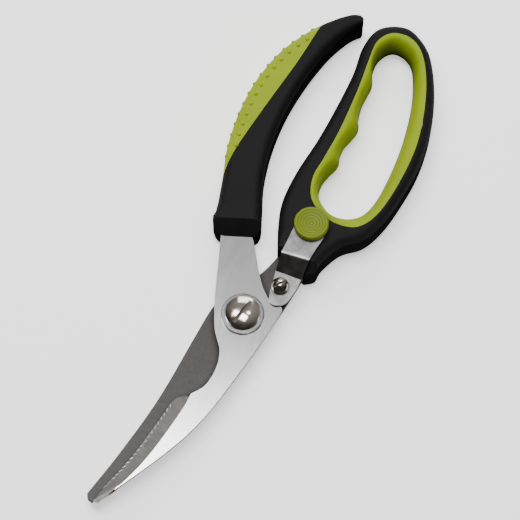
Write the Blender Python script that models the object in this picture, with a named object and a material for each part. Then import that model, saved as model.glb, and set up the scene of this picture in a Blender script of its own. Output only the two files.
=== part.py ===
"""Poultry shears with a closed-loop handle, an open handle and a swinging thumb lock.

The shears lie flat: +Y runs from the blade tips to the handle ends, +Z points to the front
(the side of the screw head), and the origin is on the pivot axis, on the outer face of the
pivot nut. Sizes are in millimetres and MM turns them into metres.
"""
import math

import bmesh
import bpy
from mathutils import Vector

MM = 0.001

# Heights of the stack, from the back faces (0) to the front.
HANDLE_BACK = 0.0
HANDLE_FRONT = 16.5
REAR_BLADE_Z = (4.5, 7.4)
FRONT_BLADE_Z = (7.6, 10.5)
GAP = 0.3
EDGE_THICKNESS = 0.5

# Main pivot.
SHANK_RADIUS = 4.0
HEAD_RADIUS = 7.2
HEAD_RIM = 1.0
HEAD_DOME = 1.6
PIVOT_WASHER_RADIUS = 9.1
PIVOT_WASHER_THICKNESS = 1.0
NUT_RADIUS = 6.5
NUT_HEIGHT = 3.2
NUT_FLOOR = 1.2
SCREW_END = 1.5
SLOT_DEPTH = 1.2
SLOT_WIDTH = 1.4
SLOT_LENGTH = 11.6
SLOT_TURN = 83.5

# Lock: a stepped strip that swings about the lock screw.
LOCK_AXIS = Vector((7.1, 18.3))
STRIP_THICKNESS = 1.2
STRIP_LOW = FRONT_BLADE_Z[1] + GAP
STRIP_HIGH = HANDLE_FRONT + GAP
LOCK_SHANK_RADIUS = 1.5
LOCK_THREAD_RADIUS = 0.9
LOCK_SPACER_RADIUS = 1.8
LOCK_HEAD_RADIUS = 3.45
LOCK_HEAD_RIM = 0.8
LOCK_HEAD_DOME = 1.9
LOCK_WASHER_RADIUS = 3.95
LOCK_WASHER_THICKNESS = 0.5
LOCK_SLOT_DEPTH = 1.0
LOCK_SLOT_WIDTH = 0.8
LOCK_SLOT_TURN = 60.0
RELIEF_NEAR = 10.4
RELIEF_FAR = 16.4
LUG_OFFSET = Vector((4.2, -3.7))
LUG_RADIUS = 1.1
BUTTON_CENTRE = Vector((5.2, 46.8))
BUTTON_RADIUS = 7.4
BUTTON_THICKNESS = 3.0
BUTTON_SKIN = 1.4
RIVET_RADIUS = 1.5

# Handles.
PAD_THICKNESS = 2.2
PAD_LINE_X = -40.5
HANDLE_ROUNDING = 4.0
CORNER_ROUNDING = 0.6
COLLAR_ROUNDING = 2.0
HEEL_ROUNDING = 1.4
TIP_ROUNDING = 2.4
TIP_CORNER_ROUNDING = 1.3
CORE_SHARE = 0.65
# Front slopes: a point on the crease, the downhill direction and the drop per millimetre.
STRAIGHT_SLOPE = ((-23.0, 34.1), (0.477, -0.879), 0.97)
HEEL_SLOPE = ((13.6, 33.4), (0.811, -0.584), 0.7)
HEEL_CORNER = (17.0, 30.4)


# ---------------------------------------------------------------- curves

def smooth(points, steps, closed=False):
    """Points along a Catmull-Rom curve through hand-placed points."""
    guides = [Vector(p) for p in points]
    count = len(guides)
    spans = count if closed else count - 1
    result = []
    for i in range(spans):
        if closed:
            a, b, c, d = (guides[(i + k) % count] for k in (-1, 0, 1, 2))
        else:
            b, c = guides[i], guides[i + 1]
            a = guides[i - 1] if i > 0 else b * 2 - c
            d = guides[i + 2] if i + 2 < count else c * 2 - b
        for s in range(steps):
            t = s / steps
            result.append(0.5 * (2 * b + (c - a) * t + (2 * a - 5 * b + 4 * c - d) * t * t
                                 + (3 * b - a - 3 * c + d) * t ** 3))
    if not closed:
        result.append(guides[-1])
    return result


def chain(*runs):
    """Joins open runs end to end into one closed outline, without repeated points."""
    outline = []
    for run in runs:
        for point in run:
            point = Vector(point)
            if not outline or (point - outline[-1]).length > 0.05:
                outline.append(point)
    if (outline[0] - outline[-1]).length < 0.05:
        outline.pop()
    return outline


def inset(outline, amounts):
    """The counter-clockwise outline moved inwards by one amount for each point."""
    count = len(outline)
    moved = []
    for i, point in enumerate(outline):
        before = (point - outline[i - 1]).normalized()
        after = (outline[(i + 1) % count] - point).normalized()
        normal = Vector((-before.y - after.y, before.x + after.x)).normalized()
        stretch = max(0.5, normal.dot(Vector((-before.y, before.x))))
        moved.append(point + normal * (amounts[i] / stretch))
    return moved


def corner_rounding(outline, corners):
    """Edge rounding for each point: full along the sides, and less near each (corner, least)."""
    amounts = []
    for point in outline:
        nearby = [least + 0.4 * (point - Vector(corner)).length for corner, least in corners]
        amounts.append(min([HANDLE_ROUNDING] + nearby))
    return amounts


# ---------------------------------------------------------------- meshes

def material(name, colour, roughness, metallic=0.0):
    made = bpy.data.materials.new(name)
    made.use_nodes = True
    shader = made.node_tree.nodes["Principled BSDF"]
    shader.inputs["Base Color"].default_value = (*colour, 1.0)
    shader.inputs["Roughness"].default_value = roughness
    shader.inputs["Metallic"].default_value = metallic
    return made


def finish(name, mesh_data, surface=None, parent=None, crease=35.0):
    """Turns a bmesh in world millimetres into a named object under its parent's frame."""
    bmesh.ops.recalc_face_normals(mesh_data, faces=mesh_data.faces)
    mesh = bpy.data.meshes.new(name)
    origin = parent.location if parent else Vector((0, 0, 0))
    for vert in mesh_data.verts:
        vert.co = vert.co * MM - origin
    mesh_data.to_mesh(mesh)
    mesh_data.free()
    mesh.shade_smooth()
    mesh.set_sharp_from_angle(angle=math.radians(crease))
    made = bpy.data.objects.new(name, mesh)
    bpy.context.collection.objects.link(made)
    made.parent = parent
    if surface:
        made.data.materials.append(surface)
    else:
        made.hide_render = True
        made.display_type = "WIRE"
    return made


def rings_solid(rings):
    """A closed solid from rings of equal length, capped by one flat face at each end."""
    solid = bmesh.new()
    loops = [[solid.verts.new(p) for p in ring] for ring in rings]
    for lower, upper in zip(loops, loops[1:]):
        for i in range(len(lower)):
            k = (i + 1) % len(lower)
            solid.faces.new((lower[i], lower[k], upper[k], upper[i]))
    solid.faces.new(list(reversed(loops[0])))
    solid.faces.new(loops[-1])
    return solid


def prism(outline, bottom, top):
    rings = [[Vector((p[0], p[1], z)) for p in outline] for z in (bottom, top)]
    return rings_solid(rings)


def circle(centre, radius, count):
    turns = [2 * math.pi * i / count for i in range(count)]
    return [Vector((centre[0] + radius * math.cos(a), centre[1] + radius * math.sin(a)))
            for a in turns]


def lathe(centre, profile, count):
    """A turned solid: (radius, height) from the lowest ring to the highest."""
    rings = [[p.to_3d() + Vector((0, 0, z)) for p in circle(centre, r, count)]
             for r, z in profile]
    return rings_solid(rings)


def turned_ring(centre, profile, count):
    """A turned ring: a closed (radius, height) section swept round its axis."""
    solid = bmesh.new()
    loops = []
    for r, z in profile:
        ring = circle(centre, r, count)
        loops.append([solid.verts.new((p.x, p.y, z)) for p in ring])
    for k, lower in enumerate(loops):
        upper = loops[(k + 1) % len(loops)]
        for i in range(count):
            j = (i + 1) % count
            solid.faces.new((lower[i], lower[j], upper[j], upper[i]))
    return solid


def dome(radius, rim, top, steps):
    """(radius, height) pairs of a spherical cap from its rim to near its crown."""
    rise = top - rim
    sphere = (radius * radius + rise * rise) / (2 * rise)
    centre = top - sphere
    pairs = []
    for k in range(steps):
        r = radius * (1 - k / steps)
        pairs.append((r, centre + math.sqrt(sphere * sphere - r * r)))
    return pairs


def rounded_plate(outline, bottom, top, rounding, steps=4):
    """A plate with quarter-round edges, whose radius may differ from point to point."""
    rings = []
    for k in range(steps + 1):
        turn = math.pi / 2 * k / steps
        plan = inset(outline, [r * (1 - math.sin(turn)) for r in rounding])
        rings.append([Vector((p.x, p.y, bottom + r * (1 - math.cos(turn))))
                      for p, r in zip(plan, rounding)])
    for k in range(steps + 1):
        turn = math.pi / 2 * k / steps
        plan = inset(outline, [r * (1 - math.cos(turn)) for r in rounding])
        rings.append([Vector((p.x, p.y, top - r * (1 - math.sin(turn))))
                      for p, r in zip(plan, rounding)])
    return rings_solid(rings)


def cut(target, cutter, operation="DIFFERENCE"):
    modifier = target.modifiers.new(cutter.name, "BOOLEAN")
    modifier.operation = operation
    modifier.solver = "EXACT"
    modifier.object = cutter


def blade(plain, ground, bevel, flat_z, bevel_z):
    """A blade plate; the ground run's wall is thinned to the edge from the bevel line on.

    plain is the rest of the outline, ground the run that is ground, and bevel the line
    on the face where the grinding starts, with both of its ends on the outline.
    """
    solid = bmesh.new()
    outline = plain + ground
    first = len(plain)
    edge_z = flat_z + math.copysign(EDGE_THICKNESS, bevel_z - flat_z)
    flat = [solid.verts.new((p.x, p.y, flat_z)) for p in outline]
    face = [solid.verts.new((p.x, p.y, bevel_z)) for p in plain + bevel]
    edge = [solid.verts.new((p.x, p.y, edge_z)) for p in ground[1:-1]]
    rim = face[:first + 1] + edge + [face[-1]]
    for i in range(len(outline)):
        k = (i + 1) % len(outline)
        solid.faces.new((flat[i], flat[k], rim[k], rim[i]))
    strip = list(zip(face[first:], rim[first:]))
    for (a, b), (c, d) in zip(strip, strip[1:]):
        corners = list(dict.fromkeys((a, b, d, c)))
        solid.faces.new(corners)
    solid.faces.new(flat)
    solid.faces.new(face)
    return solid


# ---------------------------------------------------------------- outlines

def front_blade_runs():
    tang = [(-26.7, 25.7), (-31.0, 37.0), (-34.5, 50.0), (-36.5, 58.0)]
    tang_end = [(-35.5, 61.5), (-31.0, 63.0)]
    tang_right = [(-28.5, 60.5), (-24.0, 49.5), (-19.6, 39.5), (-16.4, 33.9)]
    shoulder = [(-16.4, 33.9), (-15.0, 32.0), (-12.8, 29.9), (-8.4, 24.9), (-4.3, 20.1),
                (0.4, 15.2), (5.0, 11.8)]
    ledge = [(6.5, 11.8), (12.2, 11.3), (13.1, 10.3)]
    spine = [(13.5, 8.4), (13.2, -9.0), (12.4, -24.0), (10.9, -42.0), (8.4, -56.0), (4.6, -68.4),
             (-0.2, -81.2), (-4.6, -92.0), (-7.9, -99.9)]
    left = [(-5.2, -48.1), (-4.5, -45.0), (-2.0, -41.9), (0.2, -40.8), (3.2, -35.0),
            (3.3, -27.0), (0.4, -18.8), (-6.3, -11.8), (-13.0, -1.3), (-22.1, 16.6),
            (-26.7, 25.7)]
    edge = [(-10.1, -99.4), (-9.2, -91.8), (-7.4, -82.0), (-6.2, -71.5), (-5.6, -60.0),
            (-5.2, -48.1)]
    return tang, tang_end, tang_right, shoulder, ledge, spine, left, edge


def front_blade_mesh():
    tang, tang_end, tang_right, shoulder, ledge, spine, left, edge = front_blade_runs()
    notch = smooth(left, 4)
    ground_notch = notch[:13]
    ground_edge = resample(smooth(edge, 6), 14)
    ground = ground_edge[:-1] + ground_notch
    edge_bevel = [ground[0], (-3.6, -90.8), (-0.7, -78.2), (0.7, -65.3), (1.3, -52.5)]
    notch_bevel = [(1.3, -52.5), (1.0, -45.0), ground[-1]]
    bevel = resample(smooth(edge_bevel, 8), len(ground_edge))[:-1]
    bevel += resample(smooth(notch_bevel, 8), len(ground_notch))
    rest = chain(notch[13:], smooth(tang, 3), tang_end, smooth(tang_right, 3),
                 smooth(shoulder, 3), ledge, smooth(spine, 5))
    plain = list(reversed(rest))
    ground = list(reversed(ground))
    bevel = list(reversed(bevel))
    return blade(plain, ground, bevel, *FRONT_BLADE_Z)


def resample(line, count):
    """The same open line with evenly spaced points."""
    lengths = [0.0]
    for a, b in zip(line, line[1:]):
        lengths.append(lengths[-1] + (b - a).length)
    result = []
    k = 0
    for i in range(count):
        goal = lengths[-1] * i / (count - 1)
        while k < len(line) - 2 and lengths[k + 1] < goal:
            k += 1
        share = (goal - lengths[k]) / (lengths[k + 1] - lengths[k])
        result.append(line[k].lerp(line[k + 1], min(1.0, share)))
    return result


REAR_TANG = [(-2.5, 24.9), (-1.4, 32.0), (-0.5, 43.5)]


def rear_blade_mesh():
    spine = [(-2.5, 24.9), (-4.0, 19.7), (-7.6, 12.3), (-11.6, 4.6), (-13.0, -3.8),
             (-12.4, -18.0), (-11.1, -38.0), (-10.7, -50.0), (-10.9, -62.0), (-12.0, -80.5),
             (-13.7, -98.1)]
    tang_end = [(12.0, 44.0), (10.5, 46.0), (1.0, 46.0)]
    right = [(3.8, -36.0), (8.0, -22.0), (11.0, -9.0), (12.6, 8.0), (12.7, 25.0), (12.0, 44.0)]
    edge = [(-10.2, -100.0), (-6.3, -93.0), (-2.4, -82.0), (0.7, -68.0), (2.4, -52.0),
            (3.8, -36.0)]
    ground = resample(smooth(edge, 6), 16)
    bevel = resample(smooth([ground[0], (-9.0, -91.0), (-5.6, -78.0), (-3.3, -62.0),
                             (-1.5, -47.0), ground[-1]], 6), len(ground))
    plain = chain(smooth(right, 3)[1:], tang_end, reversed(smooth(REAR_TANG, 2)),
                  smooth(spine, 3), [(-12.5, -99.7)])
    return blade(plain, ground, bevel, REAR_BLADE_Z[1], REAR_BLADE_Z[0])


def straight_outline():
    """Outline of the open handle, with the rounding radius that each point gets."""
    right = [(-13.3, 34.0), (-13.7, 37.2), (-17.5, 44.3), (-24.0, 56.4), (-29.3, 71.5),
             (-32.6, 88.6), (-33.4, 106.1), (-32.2, 122.5), (-29.4, 134.7), (-26.6, 141.9)]
    tip = [(-26.6, 141.9), (-26.6, 144.4), (-28.8, 145.5), (-32.2, 143.6), (-36.2, 139.6)]
    left = [(-36.2, 139.6), (-41.1, 133.3), (-45.5, 126.0), (-50.4, 112.2), (-52.2, 95.4),
            (-50.6, 78.5), (-46.2, 61.5), (-40.3, 48.5), (-36.0, 39.2), (-33.3, 32.4)]
    collar = [(-33.3, 32.4), (-33.3, 30.2), (-32.2, 28.2), (-30.2, 26.5), (-27.9, 25.6),
              (-25.6, 26.1)]
    collar_end = [(-15.4, 31.1), (-14.0, 32.1), (-13.3, 34.0)]
    outline = chain(smooth(right, 4), smooth(tip, 3), smooth(left, 4), smooth(collar, 3),
                    smooth(collar_end, 2))
    corners = [(point, COLLAR_ROUNDING) for point in collar + collar_end]
    corners.append((tip[1], TIP_CORNER_ROUNDING))
    rounding = corner_rounding(outline, corners)
    tip_y = tip[2][1]
    return outline, [min(r, TIP_ROUNDING + 0.1 * (tip_y - p.y)) for r, p in zip(rounding, outline)]


def loop_outline():
    """Outline of the loop handle, counter-clockwise from the collar's right corner."""
    right = [(13.2, 27.9), HEEL_CORNER, (17.0, 36.1), (20.2, 46.2), (26.7, 54.0),
             (29.9, 64.1), (30.9, 77.9), (30.0, 95.7), (25.4, 114.0), (17.3, 131.0),
             (7.6, 144.2), (-0.8, 149.7), (-8.2, 151.2), (-15.6, 147.6), (-19.6, 141.9),
             (-20.0, 132.1), (-17.0, 119.1), (-15.0, 101.0), (-13.9, 83.8), (-13.8, 66.0),
             (-11.8, 51.1), (-6.9, 39.7), (-3.1, 33.6), (-2.0, 31.2)]
    return smooth(right, 4)


LINER_GUIDES = [(-3.6, 146.6), (-11.8, 144.6), (-15.6, 137.5), (-14.0, 127.0), (-11.3, 114.5),
                (-9.2, 102.0), (-7.6, 90.0), (-6.8, 77.5), (-6.2, 67.0), (-2.0, 58.5),
                (6.0, 53.9), (14.5, 53.6), (22.0, 57.0), (26.2, 66.0), (26.9, 82.0),
                (24.8, 101.0), (19.6, 117.5), (12.5, 132.0), (4.5, 142.4)]
HOLE_GUIDES = [(-4.6, 140.2), (-9.6, 139.4), (-12.1, 133.0), (-10.8, 126.0), (-8.0, 121.0),
               (-7.5, 116.5), (-6.9, 110.5), (-4.6, 103.5), (-2.3, 99.5), (-2.6, 95.0),
               (-3.5, 90.0), (-2.6, 84.5), (-1.1, 80.6), (-2.1, 76.5), (-2.8, 70.3),
               (-0.9, 63.8), (4.0, 60.2), (9.8, 58.8), (15.9, 60.4), (20.0, 65.0),
               (21.4, 74.0), (20.2, 88.0), (17.4, 103.0), (12.3, 119.5), (6.2, 132.0),
               (1.2, 138.0)]


# ---------------------------------------------------------------- sub-parts

def make_pivot(steel):
    head_low = FRONT_BLADE_Z[1] + GAP + PIVOT_WASHER_THICKNESS + GAP
    rim = head_low + HEAD_RIM
    profile = [(SHANK_RADIUS, SCREW_END), (SHANK_RADIUS, head_low), (HEAD_RADIUS - 0.2, head_low),
               (HEAD_RADIUS, head_low + 0.2)]
    profile += dome(HEAD_RADIUS, rim, rim + HEAD_DOME, 6)
    screw = finish("pivot_screw", lathe((0, 0), profile, 40), steel)
    slot = slot_outline(Vector((0, 0)), SLOT_TURN, SLOT_LENGTH / 2, SLOT_WIDTH / 2)
    top = rim + HEAD_DOME
    cut(screw, finish("pivot_slot_cutter", prism(slot, top - SLOT_DEPTH, top + 1)))

    nut_profile = [(NUT_RADIUS - 0.5, 0.0), (NUT_RADIUS, 0.5), (NUT_RADIUS, NUT_HEIGHT)]
    nut = finish("pivot_nut", lathe((0, 0), nut_profile, 40), steel)
    bore_radius = SHANK_RADIUS + GAP
    bore = lathe((0, 0), [(bore_radius, NUT_FLOOR), (bore_radius, NUT_HEIGHT + 1)], 40)
    cut(nut, finish("nut_bore_cutter", bore))

    low = NUT_HEIGHT + GAP
    high = REAR_BLADE_Z[0] - GAP
    section = [(SHANK_RADIUS + GAP, low), (NUT_RADIUS - 0.2, low), (NUT_RADIUS - 0.2, high),
               (SHANK_RADIUS + GAP, high)]
    finish("pivot_spring_washer", turned_ring((0, 0), section, 32), steel)


def make_front_half(hinge, steel, plastic, rubber):
    front = finish("front_blade", front_blade_mesh(), steel, hinge)
    bore_z = (FRONT_BLADE_Z[0] - 1, FRONT_BLADE_Z[1] + 1)
    bore = prism(circle((0, 0), SHANK_RADIUS + GAP, 40), *bore_z)
    cut(front, finish("front_bore_cutter", bore, parent=hinge))

    low = FRONT_BLADE_Z[1] + GAP
    high = low + PIVOT_WASHER_THICKNESS
    inner = SHANK_RADIUS + GAP
    section = [(inner, low), (PIVOT_WASHER_RADIUS, low), (PIVOT_WASHER_RADIUS, high - 0.3),
               (PIVOT_WASHER_RADIUS - 0.3, high), (inner, high)]
    finish("pivot_washer", turned_ring((0, 0), section, 48), steel, hinge)

    outline, rounding = straight_outline()
    body = finish("straight_handle_body", rounded_plate(outline, HANDLE_BACK, HANDLE_FRONT,
                                                        rounding), plastic, hinge)
    pocket = finish("pad_pocket_cutter", pad_region(PAD_LINE_X + GAP), parent=hinge)
    core = finish("pocket_core_cutter", handle_core(PAD_THICKNESS + GAP), parent=hinge)
    cut(pocket, core)
    cut(body, pocket)
    cut(body, slope_cutter("straight_collar", STRAIGHT_SLOPE, hinge))
    tang = front_tang_pocket()
    cut(body, finish("front_tang_cutter", tang, parent=hinge))

    pad = finish("straight_handle_pad", rounded_plate(outline, HANDLE_BACK, HANDLE_FRONT,
                                                      rounding), rubber, hinge)
    cut(pad, finish("pad_region_cutter", pad_region(PAD_LINE_X), parent=hinge), "INTERSECT")
    cut(pad, finish("pad_core_cutter", handle_core(PAD_THICKNESS), parent=hinge))


def pad_region(line_x):
    """Everything on the outer side of the pad's boundary line."""
    line = smooth([(line_x + 1.6, 44.0), (line_x - 0.6, 60.0), (line_x - 0.4, 85.0),
                   (line_x + 0.4, 112.0), (line_x - 0.2, 136.0)], 4)
    outside = [(-60.0, 140.0), (-60.0, 40.0)]
    return prism(chain(line, outside), HANDLE_BACK - 1, HANDLE_FRONT + 1)


def handle_core(depth):
    """The open handle's own shape shrunk by the pad's thickness, or less at the tight corners."""
    outline, rounding = straight_outline()
    plan = inset(outline, [min(depth, CORE_SHARE * r) for r in rounding])
    return rounded_plate(plan, HANDLE_BACK + depth, HANDLE_FRONT - depth,
                         [max(0.2, r - depth) for r in rounding])


def front_tang_pocket():
    tang, tang_end, tang_right = front_blade_runs()[:3]
    outline = chain(reversed(smooth(tang_right, 3)), reversed(tang_end),
                    reversed(smooth(tang, 3)), [(-24.0, 20.0), (-8.0, 24.0)])
    wide = inset(outline, [-GAP] * len(outline))
    return prism(wide, FRONT_BLADE_Z[0] - GAP, FRONT_BLADE_Z[1] + GAP)


def slope_cutter(name, slope, parent=None):
    """A wedge that slopes a handle's front face down from a crease line."""
    crease, outward, drop = slope
    out = Vector(outward).normalized()
    side = Vector((-out.y, out.x))
    near = Vector(crease) - out * 2
    far = Vector(crease) + out * 14
    corners = [(near, HANDLE_FRONT + 2 * drop), (far, HANDLE_FRONT - 14 * drop),
               (far, HANDLE_FRONT + 4), (near, HANDLE_FRONT + 4)]
    rings = [[Vector((*(p + side * s), z)) for p, z in corners] for s in (-20, 20)]
    return finish(name + "_cutter", rings_solid(rings), parent=parent)


def make_rear_half(steel, dark_steel, plastic, rubber):
    rear = finish("rear_blade", rear_blade_mesh(), dark_steel)
    bore_z = (REAR_BLADE_Z[0] - 1, REAR_BLADE_Z[1] + 1)
    cut(rear, finish("rear_bore_cutter", prism(circle((0, 0), SHANK_RADIUS + GAP, 40), *bore_z)))
    lock_bore = prism(circle(LOCK_AXIS, LOCK_SHANK_RADIUS + GAP, 24), *bore_z)
    cut(rear, finish("rear_lock_bore_cutter", lock_bore))

    outline = loop_outline()
    corners = ((outline[0], CORNER_ROUNDING), (HEEL_CORNER, HEEL_ROUNDING),
               (outline[-1], CORNER_ROUNDING))
    rounding = corner_rounding(outline, corners)
    body = finish("loop_handle_body",
                  rounded_plate(outline, HANDLE_BACK, HANDLE_FRONT, rounding), plastic)
    opening = prism(smooth(LINER_GUIDES, 4, closed=True), HANDLE_BACK - 1, HANDLE_FRONT + 1)
    cut(body, finish("liner_seat_cutter", opening))
    cut(body, finish("lock_relief_cutter", lock_relief()))
    cut(body, slope_cutter("heel_slope", HEEL_SLOPE))
    cut(body, finish("rear_tang_cutter", rear_tang_pocket()))
    finish("loop_grip_liner", liner_mesh(), rubber)


def lock_relief():
    """Cone round the lock axis that keeps the collar's front under the swinging strip."""
    low = STRIP_LOW + GAP
    slope = (HANDLE_FRONT - low) / (RELIEF_FAR - RELIEF_NEAR)
    beyond = 9.0
    profile = [(RELIEF_NEAR - 1, low - slope), (RELIEF_NEAR + beyond, low + beyond * slope)]
    return lathe(LOCK_AXIS, profile, 48)


def rear_tang_pocket():
    outline = [(-2.4, 22.0), (-1.5, 31.0), (-0.5, 43.8), (1.0, 46.0), (10.5, 46.0), (12.2, 44.0),
               (12.8, 22.0)]
    outline = [Vector(p) for p in reversed(outline)]
    wide = inset(outline, [-GAP] * len(outline))
    return prism(wide, REAR_BLADE_Z[0] - GAP, REAR_BLADE_Z[1] + GAP)


def liner_mesh():
    """The liner's ring: flat against the handle, bulging into the finger hole."""
    count = 96
    seat = smooth(LINER_GUIDES, 12, closed=True)
    seat = resample(inset(seat, [GAP] * len(seat)) + [seat[0]], count + 1)[:-1]
    hole = smooth(HOLE_GUIDES, 12, closed=True)
    hole = resample(hole + [hole[0]], count + 1)[:-1]
    solid = bmesh.new()
    middle = (HANDLE_FRONT + HANDLE_BACK) / 2
    half = (HANDLE_FRONT - HANDLE_BACK) / 2
    steps = 8
    loops = []
    for k in range(steps + 1):
        turn = math.pi * k / steps
        share = 0.12 + 0.88 * math.sin(turn) ** 0.8
        z = middle + half * math.cos(turn)
        loops.append([solid.verts.new((*a.lerp(b, share), z)) for a, b in zip(seat, hole)])
    loops.append([solid.verts.new((a.x, a.y, HANDLE_BACK)) for a in seat])
    loops.append([solid.verts.new((a.x, a.y, HANDLE_FRONT)) for a in seat])
    for k, near in enumerate(loops):
        far = loops[(k + 1) % len(loops)]
        for i in range(count):
            j = (i + 1) % count
            solid.faces.new((near[i], near[j], far[j], far[i]))
    return solid


def strip_mesh():
    """The lock strip: nose, lower flat, riser and upper flat, in cross rows from nose to end."""
    low = STRIP_LOW
    high = STRIP_HIGH
    rows = [((6.6, 10.3), (9.2, 9.9), low), ((5.8, 11.8), (11.5, 11.2), low),
            ((5.0, 13.6), (13.0, 13.4), low), ((4.1, 16.0), (13.4, 16.6), low),
            ((3.0, 20.0), (13.5, 21.2), low), ((1.9, 23.5), (13.1, 25.4), low),
            ((0.7, 30.5), (12.5, 33.6), high), ((0.0, 37.0), (12.4, 39.0), high),
            ((-0.8, 43.4), (12.6, 44.4), high), ((-0.8, 47.4), (11.8, 48.4), high),
            ((1.0, 51.0), (9.9, 51.4), high), ((3.4, 52.7), (7.4, 52.9), high)]
    solid = bmesh.new()
    rings = []
    for (lx, ly), (rx, ry), z in rows:
        top = z + STRIP_THICKNESS
        corners = ((lx, ly, z), (rx, ry, z), (rx, ry, top), (lx, ly, top))
        rings.append([solid.verts.new(p) for p in corners])
    for near, far in zip(rings, rings[1:]):
        for i in range(4):
            k = (i + 1) % 4
            solid.faces.new((near[i], near[k], far[k], far[i]))
    solid.faces.new(rings[0])
    solid.faces.new(rings[-1])
    return solid


def make_lock(hinge, steel, rubber):
    strip = finish("lock_lever", strip_mesh(), steel, hinge, crease=20.0)
    screw_hole = prism(circle(LOCK_AXIS, LOCK_SHANK_RADIUS + GAP, 24), STRIP_LOW - 1,
                       STRIP_LOW + STRIP_THICKNESS + 1)
    cut(strip, finish("strip_screw_cutter", screw_hole, parent=hinge))
    rivet_hole = prism(circle(BUTTON_CENTRE, RIVET_RADIUS + GAP, 24), STRIP_HIGH - 1,
                       STRIP_HIGH + STRIP_THICKNESS + 1)
    cut(strip, finish("strip_rivet_cutter", rivet_hole, parent=hinge))

    lug = prism(circle(LOCK_AXIS + LUG_OFFSET, LUG_RADIUS, 16), FRONT_BLADE_Z[0] + GAP,
                STRIP_LOW - GAP)
    finish("lock_lug", lug, steel, hinge)

    low = STRIP_HIGH + STRIP_THICKNESS + GAP
    high = low + BUTTON_THICKNESS
    profile = [(BUTTON_RADIUS - 0.3, low), (BUTTON_RADIUS, low + 0.3), (BUTTON_RADIUS, high - 0.5),
               (BUTTON_RADIUS - 0.5, high), (BUTTON_RADIUS - 1.2, high), (4.0, high - 0.5),
               (1.5, high - 0.7)]
    button = finish("lock_button", lathe(BUTTON_CENTRE, profile, 40), rubber, hinge)
    bore_radius = RIVET_RADIUS + GAP
    bore_end = high - BUTTON_SKIN
    blind = lathe(BUTTON_CENTRE, [(bore_radius, low - 1), (bore_radius, bore_end)], 24)
    cut(button, finish("button_bore_cutter", blind, parent=hinge))
    rivet = lathe(BUTTON_CENTRE, [(RIVET_RADIUS, STRIP_HIGH), (RIVET_RADIUS, bore_end - GAP)], 24)
    finish("lock_button_rivet", rivet, steel, hinge)


def make_lock_fixings(steel, bright):
    spacer_z = (REAR_BLADE_Z[1] + GAP, STRIP_LOW - GAP)
    inner = LOCK_SHANK_RADIUS - 0.3
    section = [(inner, spacer_z[0]), (LOCK_SPACER_RADIUS, spacer_z[0]),
               (LOCK_SPACER_RADIUS, spacer_z[1]), (inner, spacer_z[1])]
    finish("lock_spacer", turned_ring(LOCK_AXIS, section, 24), steel)
    washer_low = STRIP_LOW + STRIP_THICKNESS + GAP
    washer_high = washer_low + LOCK_WASHER_THICKNESS
    inner = LOCK_SHANK_RADIUS + GAP
    section = [(inner, washer_low), (LOCK_WASHER_RADIUS, washer_low),
               (LOCK_WASHER_RADIUS, washer_high), (inner, washer_high)]
    finish("lock_washer", turned_ring(LOCK_AXIS, section, 32), bright)
    head_low = washer_high + GAP
    rim = head_low + LOCK_HEAD_RIM
    thread = LOCK_THREAD_RADIUS
    profile = [(thread, REAR_BLADE_Z[0]), (thread, spacer_z[1]),
               (LOCK_SHANK_RADIUS, spacer_z[1] + 0.1),
               (LOCK_SHANK_RADIUS, head_low), (LOCK_HEAD_RADIUS, head_low)]
    top = rim + LOCK_HEAD_DOME
    profile += dome(LOCK_HEAD_RADIUS, rim, top, 5)
    screw = finish("lock_screw", lathe(LOCK_AXIS, profile, 32), bright)
    slot = slot_outline(LOCK_AXIS, LOCK_SLOT_TURN, LOCK_HEAD_RADIUS + 1, LOCK_SLOT_WIDTH / 2)
    cut(screw, finish("lock_slot_cutter", prism(slot, top - LOCK_SLOT_DEPTH, top + 1)))


def slot_outline(centre, degrees, half_length, half_width):
    """Corners of a screwdriver slot turned by that angle from +X."""
    turn = math.radians(degrees)
    along = Vector((math.cos(turn), math.sin(turn)))
    across = Vector((-along.y, along.x))
    return [centre + along * half_length * s + across * half_width * t
            for s, t in ((-1, -1), (1, -1), (1, 1), (-1, 1))]


def joint_frame(name, x, y):
    frame = bpy.data.objects.new(name, None)
    frame.location = Vector((x, y, 0)) * MM
    bpy.context.collection.objects.link(frame)
    return frame


def main():
    for old in list(bpy.data.objects):
        bpy.data.objects.remove(old)
    steel = material("brushed_steel", (0.62, 0.61, 0.60), 0.32, 1.0)
    dark_steel = material("dark_ground_steel", (0.20, 0.19, 0.185), 0.40, 1.0)
    bright = material("polished_steel", (0.75, 0.74, 0.72), 0.18, 1.0)
    plastic = material("black_plastic", (0.012, 0.012, 0.012), 0.48)
    rubber = material("green_rubber", (0.40, 0.50, 0.045), 0.55)
    pivot = joint_frame("front_half", 0.0, 0.0)
    lock = joint_frame("lock", *LOCK_AXIS)
    make_pivot(bright)
    make_rear_half(steel, dark_steel, plastic, rubber)
    make_front_half(pivot, steel, plastic, rubber)
    make_lock(lock, steel, rubber)
    make_lock_fixings(steel, bright)


main()
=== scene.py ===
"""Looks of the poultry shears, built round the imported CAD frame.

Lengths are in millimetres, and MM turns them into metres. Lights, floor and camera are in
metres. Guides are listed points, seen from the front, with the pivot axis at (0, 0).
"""
import math

import bmesh
import bpy
from mathutils import Matrix, Vector

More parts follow.
